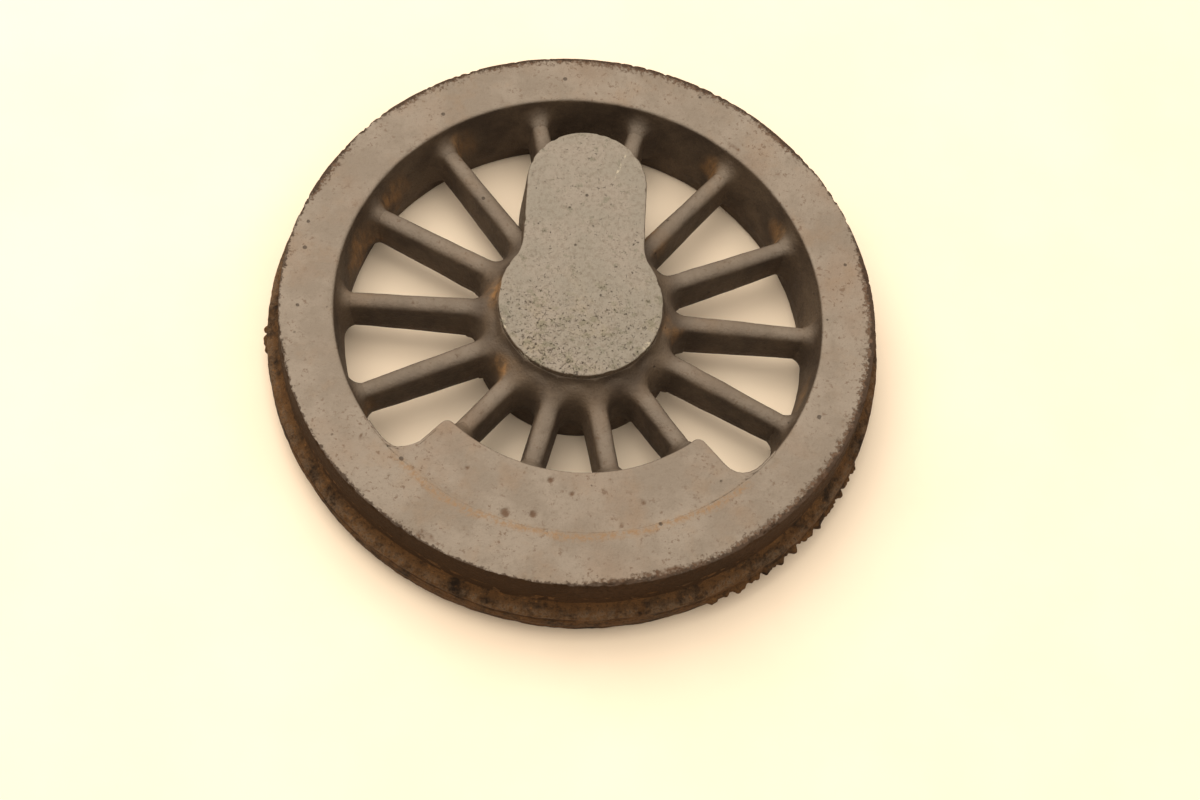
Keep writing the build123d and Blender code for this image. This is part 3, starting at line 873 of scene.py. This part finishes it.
def boss_skin(points):
    """A flatter skin than elsewhere, nicked along the face's edge, with bright strokes: metal bared by
    rubbing on the small end, painted highlight along the large end's edge.
    """
    x, y, length, width, lie = RUBBED_AND_EDGE_HIGHLIGHT.T
    lie = np.radians(lie)
    dx, dy = points[:, :1] - x, points[:, 1:2] - y
    along = dx * np.cos(lie) + dy * np.sin(lie)
    across = dy * np.cos(lie) - dx * np.sin(lie)
    away = np.sqrt((2 * along / length) ** 2 + (2 * across / width) ** 2) + 0.5 * lumps(points, 0.9)[:, None]
    bright = rise(-away.min(axis=1), -1.2, -0.6) * (points[:, 2] > BOSS_FACE_Z - 1.2)
    by_edge = np.exp(-((BOSS_FACE_Z - points[:, 2] - 0.3) / 0.4) ** 2)
    nicks = NICK_DEPTH * rise(lumps(points, 1.3, 2.0), 0.1, 0.8) * by_edge
    return 0.6 * sand_skin(points) - nicks - RUB_AND_HIGHLIGHT_DEPTH * bright, 0.8 * bright


make_piece(
    "crank_boss_cast", np.array(boss_rows), boss_finish, ["crank_boss"], boss_skin,
    rows_close=False,
)

# ---- Balance weight ---------------------------------------------------------------------------
# Iron filled in between the spokes opposite the crank, its face a hair below the rim's. Its ends
# run into the rim in hollow curves, and a faint rusty seam marks where it meets the rim.
weight_low, weight_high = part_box("balance_weight")
WEIGHT_FACE_Z = weight_high.z / MM
WEIGHT_BACK_Z = weight_low.z / MM
WEIGHT_INNER_R = 39.7
WEIGHT_HALF = 42.5       # degrees
WEIGHT_EDGE = 0.7
WEIGHT_MIDDLE_R = 46.0   # arc lengths are laid out at this radius
WEIGHT_OUTER_R = BORE_FRONT_R - 0.3
WEIGHT_CORNER, WEIGHT_HOLLOW = 1.7, 5.2
WEIGHT_FILLET = 5.0      # where the spokes run into the inner wall
TAIL = 9.0               # how far the outline runs on past each end, along the bore
UNDER_RIM_R = 55.2       # a line inside the rim that the weight's rows go back to
KEPT_R, CLOSING_R = 60.0, 70.0       # the outline closes far out, and that part is dropped

half_length = math.radians(WEIGHT_HALF) * WEIGHT_MIDDLE_R
flat_outline = rounded_outline([
    (-half_length - TAIL, WEIGHT_OUTER_R, 0, 0.4),
    (-half_length, WEIGHT_OUTER_R, WEIGHT_HOLLOW, 0.4),
    (-half_length, WEIGHT_INNER_R, WEIGHT_CORNER, 0.4),
    (half_length, WEIGHT_INNER_R, WEIGHT_CORNER, 0.4),
    (half_length, WEIGHT_OUTER_R, WEIGHT_HOLLOW, 0.4),
    (half_length + TAIL, WEIGHT_OUTER_R, 0, 0.4),
    (half_length + TAIL, CLOSING_R, 0, 20.0),
    (-half_length - TAIL, CLOSING_R, 0, 20.0),
])
flat_outline = flat_outline[flat_outline[:, 1] < KEPT_R]
flat_outline = flat_outline[np.argmin(flat_outline[:, 0]):]
ahead = unit(np.gradient(flat_outline, axis=0))
weight_outward = np.stack([ahead[:, 1], -ahead[:, 0]], axis=1)
backing = np.stack([
    np.linspace(flat_outline[0, 0], flat_outline[-1, 0], len(flat_outline)),
    np.full(len(flat_outline), UNDER_RIM_R),
], axis=1)


def weight_level(inward, height, fill=1.0):
    """One line of the weight from end to end: its outline drawn in by a distance, or part of the
    way back to a line hidden inside the rim. Arc lengths then become angles round the wheel. The
    face climbs a little to meet the rim's, and dives under it past the bore's edge."""
    line = backing + (flat_outline - weight_outward * inward - backing) * fill
    turn = line[:, 0] / WEIGHT_MIDDLE_R - math.pi / 2
    radius = line[:, 1]
    climb = 0.38 * rise(radius, 52.3, 53.4) * (height > FACE_Z - 1)
    level = np.full(len(line), height) + climb
    level = np.where(radius > BORE_FRONT_R + 0.25, np.minimum(level, WEIGHT_FACE_Z - 0.5), level)
    return np.stack([radius * np.cos(turn), radius * np.sin(turn), level], axis=1)


weight_rows = [weight_level(WEIGHT_EDGE, WEIGHT_FACE_Z, fill) for fill in np.linspace(0, 1, 40)[:-1]]
weight_rows += [
    weight_level(WEIGHT_EDGE * (1 - math.sin(t)), WEIGHT_FACE_Z - WEIGHT_EDGE * (1 - math.cos(t)))
    for t in edge_turns
]
weight_heights = np.linspace(WEIGHT_FACE_Z - WEIGHT_EDGE, WEIGHT_BACK_Z + 0.5, 22)[1:]
weight_rows += [weight_level(0, z) for z in weight_heights]
weight_rows += [weight_level(0.5, WEIGHT_BACK_Z, fill) for fill in np.linspace(1, 0, 16)]

# blow holes and rust spots on the weight's face: x, y and size across
WEIGHT_SPOTS = np.array([
    (-13.4, -49.9, 1.5), (-7.6, -49.9, 1.1), (-4.3, -42.0, 1.0), (0.2, -44.8, 0.8), (15.3, -45.7, 1.0),
    (10.9, -51.2, 0.9), (-21.7, -40.7, 0.6),
])
HOLE_DEPTH = 0.3


def weight_skin(points):
    """The sand skin with a few small blow holes in the face."""
    x, y, size = WEIGHT_SPOTS.T
    away = np.hypot(points[:, :1] - x, points[:, 1:2] - y) / size + 0.35 * lumps(points, 0.8)[:, None]
    hole = rise(-away.min(axis=1), -0.75, -0.35) * (points[:, 2] > WEIGHT_FACE_Z - 0.5)
    return sand_skin(points) - HOLE_DEPTH * hole, 0.85 * hole


# the inner wall swells to meet the four spokes that end on it
weight_grid = np.array(weight_rows)
out_from_axis = np.hypot(weight_grid[..., 0], weight_grid[..., 1])
weight_turn = np.arctan2(weight_grid[..., 1], weight_grid[..., 0])
weight_z = weight_grid[..., 2]
pull = swell_at(weight_turn, weight_z, WEIGHT_INNER_R, WEIGHT_FILLET)
pull *= rise(WEIGHT_INNER_R + 3.7 - out_from_axis, 0, 2) * rise(WEIGHT_FACE_Z - weight_z, 0.9, 2.6)
pull *= np.abs(weight_turn + math.pi / 2) < math.radians(40)
weight_grid[..., :2] *= (1 - pull / out_from_axis)[..., None]

make_piece(
    "balance_weight_cast", weight_grid, primer, ["balance_weight"], weight_skin,
    columns_close=False,
)

# ---- Spokes -----------------------------------------------------------------------------------
# Fourteen rounded bars that taper towards the rim. At both ends their sides and fronts flare
# out in fillets, as the pattern maker's wax or leather left them.
SPOKE_START_R = 21.0
SPOKE_END_R = BORE_R + 0.4
CORNER_POINTS = 7
WIDE_STEPS, TALL_STEPS = 7, 14


def bar_section():
    """A spoke's section as a closed line of (side, level, round x, round z). side is -1 or 1 and
    level 0 or 1 for the corner that a point belongs to, and the round part is its place on the
    unit circle of that corner's rounding. Straight runs join the four corners."""
    quarter = np.linspace(0, math.pi / 2, CORNER_POINTS)
    corners = [
        np.stack([
            np.full(CORNER_POINTS, side), np.full(CORNER_POINTS, level),
            np.cos(quarter + start), np.sin(quarter + start),
        ], axis=1)
        for side, level, start in ((1, 1, 0), (-1, 1, math.pi / 2), (-1, 0, math.pi), (1, 0, 1.5 * math.pi))
    ]
    runs = []
    for i, corner in enumerate(corners):
        steps = WIDE_STEPS if i % 2 == 0 else TALL_STEPS
        last, first = corner[-1], corners[(i + 1) % 4][0]
        runs += [corner, last + (first - last) * (np.arange(1, steps) / steps)[:, None]]
    return np.concatenate(runs)


def spoke_bar():
    """The spoke along +x as a grid of sections. Its width, front and back go in straight lines
    from hub to rim, the sides lean with the draft both ways from SPOKE_MID_Z, and inside MEET_R
    the front sinks under the hub's."""
    out = np.concatenate([
        np.linspace(SPOKE_START_R, MEET_R, 8)[:-1],
        np.linspace(MEET_R, BORE_R - 2, 58)[:-1],
        np.linspace(BORE_R - 2, SPOKE_END_R, 6),
    ])[:, None]
    share = np.clip((out - HUB_R) / (BORE_R - HUB_R), 0, 1)
    half = HALF_AT_HUB + (HALF_AT_RIM - HALF_AT_HUB) * share
    front = FRONT_AT_HUB + (FRONT_AT_RIM - FRONT_AT_HUB) * share
    front -= MEET_DIP * np.maximum(MEET_R - out, 0) ** 2
    back = BACK_AT_HUB + (BACK_AT_RIM - BACK_AT_HUB) * share
    side, level, round_x, round_z = bar_section().T
    z = (back + SPOKE_ROUND) * (1 - level) + (front - SPOKE_ROUND) * level + SPOKE_ROUND * round_z
    lean = np.abs(z - SPOKE_MID_Z) * SPOKE_LEAN
    y = side * (half - SPOKE_ROUND - lean) + SPOKE_ROUND * round_x
    return np.stack([np.broadcast_to(out, z.shape), y, z], axis=-1)


bar = spoke_bar()
for number in range(1, SPOKE_COUNT + 1):
    turn = math.radians(90 + (number - 0.5) * 360 / SPOKE_COUNT)
    turned = bar @ np.array([
        (math.cos(turn), math.sin(turn), 0),
        (-math.sin(turn), math.cos(turn), 0),
        (0, 0, 1),
    ])
    node = f"spoke_{number:02d}"
    make_piece(node + "_cast", turned, primer, [node], rows_close=False)

# ---- Stage --------------------------------------------------------------------------------------
# A plain cream table, a broad soft lamp above and behind, a wider one overhead, and a low even
# fill from the room.
FLOOR_HALF = 2.5
FLOOR_DROP = 0.0002
CREAM, PALE_CREAM = (0.84, 0.675, 0.500, 1), (0.86, 0.705, 0.530, 1)
ROOM_COLOUR, ROOM_STRENGTH = (1.0, 0.95, 0.86, 1), 0.50
CAMERA_LENS = 55.9
CAMERA_AT = Vector((-0.0204, -0.1962, 0.3765))
CAMERA_RIGHT = Vector((0.9950, 0.0405, 0.0911)).normalized()
CAMERA_LOOK = Vector((0.0644, 0.4363, -0.8975)).normalized()

floor_mesh = bpy.data.meshes.new("table_top")
floor_corners = [(x * FLOOR_HALF, y * FLOOR_HALF) for x, y in ((-1, -1), (1, -1), (1, 1), (-1, 1))]
floor_mesh.from_pydata([(x, y, -FLOOR_DROP) for x, y in floor_corners], [], [(0, 1, 2, 3)])
floor = bpy.data.objects.new("table_top", floor_mesh)
bpy.context.scene.collection.objects.link(floor)


def table_look(tree):
    """Cream laminate with very faint clouds."""
    point = place("TexCoord", tree).outputs["Object"]
    clouds = noise_of(tree, point, 0.05, 4.0, 0.6)
    colour = blend_of(tree, mask_of(tree, clouds, 0.3, 0.7), CREAM, PALE_CREAM)
    rough = place("MapRange", tree, {0: clouds, 3: 0.5, 4: 0.6}).outputs[0]
    return colour, rough, clouds, 0.2


floor_mesh.materials.append(new_finish("cream_table", table_look, depth=0.0001))


def add_lamp(name, where, size, power, colour):
    """A square soft lamp aimed at the middle of the wheel's back."""
    lamp = bpy.data.lights.new(name, "AREA")
    lamp.shape = "SQUARE"
    lamp.size = size
    lamp.energy = power
    lamp.color = colour
    holder = bpy.data.objects.new(name, lamp)
    holder.location = where
    holder.rotation_mode = "QUATERNION"
    holder.rotation_quaternion = (-Vector(where)).to_track_quat("-Z", "Y")
    bpy.context.scene.collection.objects.link(holder)


add_lamp("window_lamp", (-0.40, 0.44, 0.92), 1.0, 11.5, (1.0, 0.955, 0.87))
add_lamp("ceiling_lamp", (0.10, -0.05, 1.3), 1.8, 15.5, (1.0, 0.96, 0.89))
world = bpy.data.worlds.new("room")
world.use_nodes = True
world.node_tree.nodes["Background"].inputs["Color"].default_value = ROOM_COLOUR
world.node_tree.nodes["Background"].inputs["Strength"].default_value = ROOM_STRENGTH
bpy.context.scene.world = world
bpy.context.scene.view_settings.view_transform = "Standard"

camera_data = bpy.data.cameras.new("camera")
camera_data.lens = CAMERA_LENS
camera_data.sensor_width = 36.0
camera = bpy.data.objects.new("camera", camera_data)
camera_up = CAMERA_RIGHT.cross(CAMERA_LOOK)
axes = zip(CAMERA_RIGHT, camera_up, -CAMERA_LOOK, CAMERA_AT)
camera.matrix_world = Matrix([*axes, (0, 0, 0, 1)])
bpy.context.scene.collection.objects.link(camera)
bpy.context.scene.camera = camera
